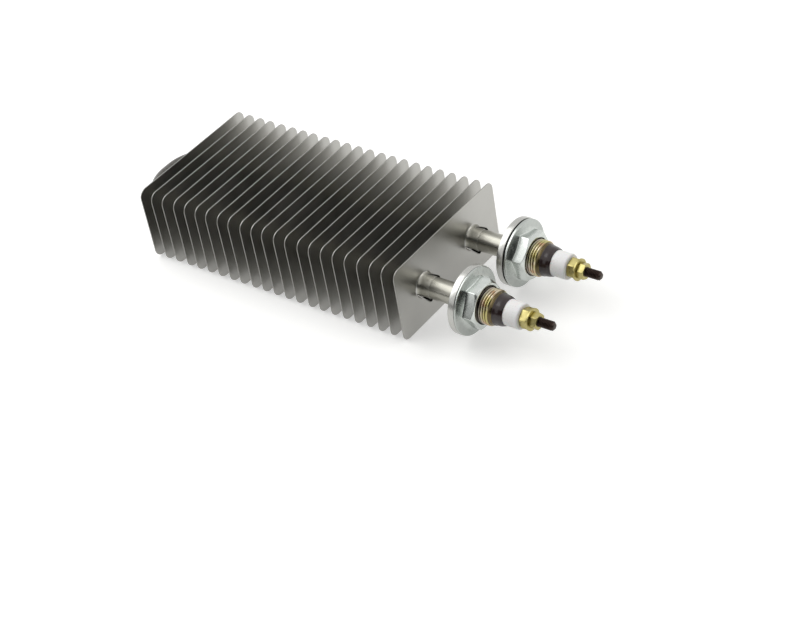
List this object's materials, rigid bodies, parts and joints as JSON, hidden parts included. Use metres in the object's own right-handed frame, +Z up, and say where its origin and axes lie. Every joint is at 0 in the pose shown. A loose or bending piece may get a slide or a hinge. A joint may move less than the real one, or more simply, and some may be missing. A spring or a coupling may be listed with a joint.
{
  "type": "finned tubular heating element",
  "caption": "Hairpin tubular heating element with rectangular sheet fins, threaded mounting sleeves, flange nuts, ceramic insulators and terminal studs.",
  "frame": {"origin": "centre of the bounding box at its lowest level, under the middle of the element on the plane of the fins' lower edges", "axes": "+X along the straight legs towards the terminals, +Y across the two legs, +Z up through the fins' short sides"},
  "size_m": [0.28, 0.09, 0.045],
  "materials": {
    "fin_sheet": "satin stainless sheet",
    "sheath": "drawn stainless tube",
    "resistance_wire": "wound nichrome wire",
    "magnesia": "compacted magnesia powder",
    "sleeve": "turned stainless, straw coloured by heat",
    "zinc_nut": "bright zinc plate",
    "seal": "glossy dark brown sealing lacquer",
    "ceramic": "white steatite ceramic",
    "pin": "blackened steel",
    "brass": "plain turned brass"
  },
  "bodies": {
    "root": {"fin_01": "fin_sheet", "fin_02": "fin_sheet", "fin_03": "fin_sheet", "fin_04": "fin_sheet", "fin_05": "fin_sheet", "fin_06": "fin_sheet", "fin_07": "fin_sheet", "fin_08": "fin_sheet", "fin_09": "fin_sheet", "fin_10": "fin_sheet", "fin_11": "fin_sheet", "fin_12": "fin_sheet", "fin_13": "fin_sheet", "fin_14": "fin_sheet", "fin_15": "fin_sheet", "fin_16": "fin_sheet", "fin_17": "fin_sheet", "fin_18": "fin_sheet", "fin_19": "fin_sheet", "fin_20": "fin_sheet", "fin_21": "fin_sheet", "fin_22": "fin_sheet", "fin_23": "fin_sheet", "sheath_tube": "sheath", "resistance_coil": "resistance_wire", "magnesia_filling": "magnesia", "threaded_sleeve_left": "sleeve", "flange_nut_left": "zinc_nut", "end_seal_left": "seal", "ceramic_insulator_left": "ceramic", "cold_pin_left": "pin", "inner_nut_left": "brass", "washer_left": "brass", "outer_nut_left": "brass", "threaded_sleeve_right": "sleeve", "flange_nut_right": "zinc_nut", "end_seal_right": "seal", "ceramic_insulator_right": "ceramic", "cold_pin_right": "pin", "inner_nut_right": "brass", "washer_right": "brass", "outer_nut_right": "brass"}
  },
  "joints": []
}
